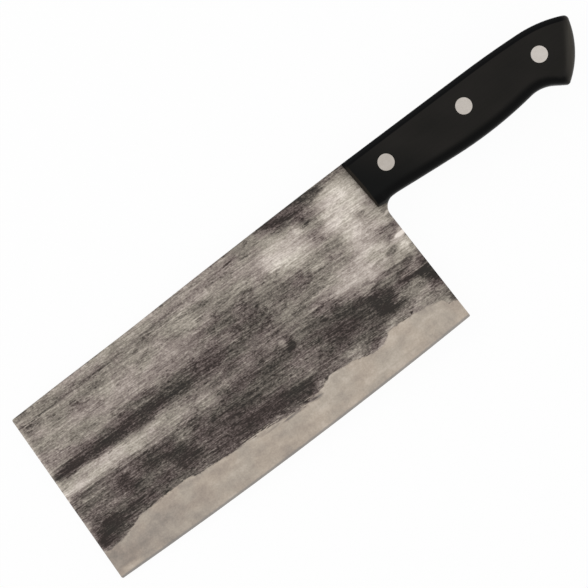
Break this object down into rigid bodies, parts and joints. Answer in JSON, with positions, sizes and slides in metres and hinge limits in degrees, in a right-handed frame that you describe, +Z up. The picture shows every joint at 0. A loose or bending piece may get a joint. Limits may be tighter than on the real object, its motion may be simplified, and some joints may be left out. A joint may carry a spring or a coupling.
{
  "type": "chinese cleaver",
  "caption": "Broad rectangular forged kitchen cleaver with a ground edge band, a full tang and a black beaked handle of two scales held by flush rivets.",
  "frame": {"origin": "middle of the bounding box, on the surface that the knife lies on", "axes": "+X from the nose of the blade to the butt of the handle, +Y from the cutting edge to the spine, +Z up out of the left side, which faces up as the knife lies on its right side"},
  "size_m": [0.3178, 0.0932, 0.021],
  "materials": {
    "blade_steel": "brushed forged carbon steel with patches of dark scale, bright ground edge",
    "handle_wood": "black-stained resin-filled hardwood, satin",
    "rivet_steel": "sanded flush, satin"
  },
  "bodies": {
    "root": {"blade": "blade_steel", "left_scale": "handle_wood", "right_scale": "handle_wood", "rivet_stud_front": "rivet_steel", "rivet_socket_front": "rivet_steel", "rivet_stud_middle": "rivet_steel", "rivet_socket_middle": "rivet_steel", "rivet_stud_rear": "rivet_steel", "rivet_socket_rear": "rivet_steel"}
  },
  "joints": []
}
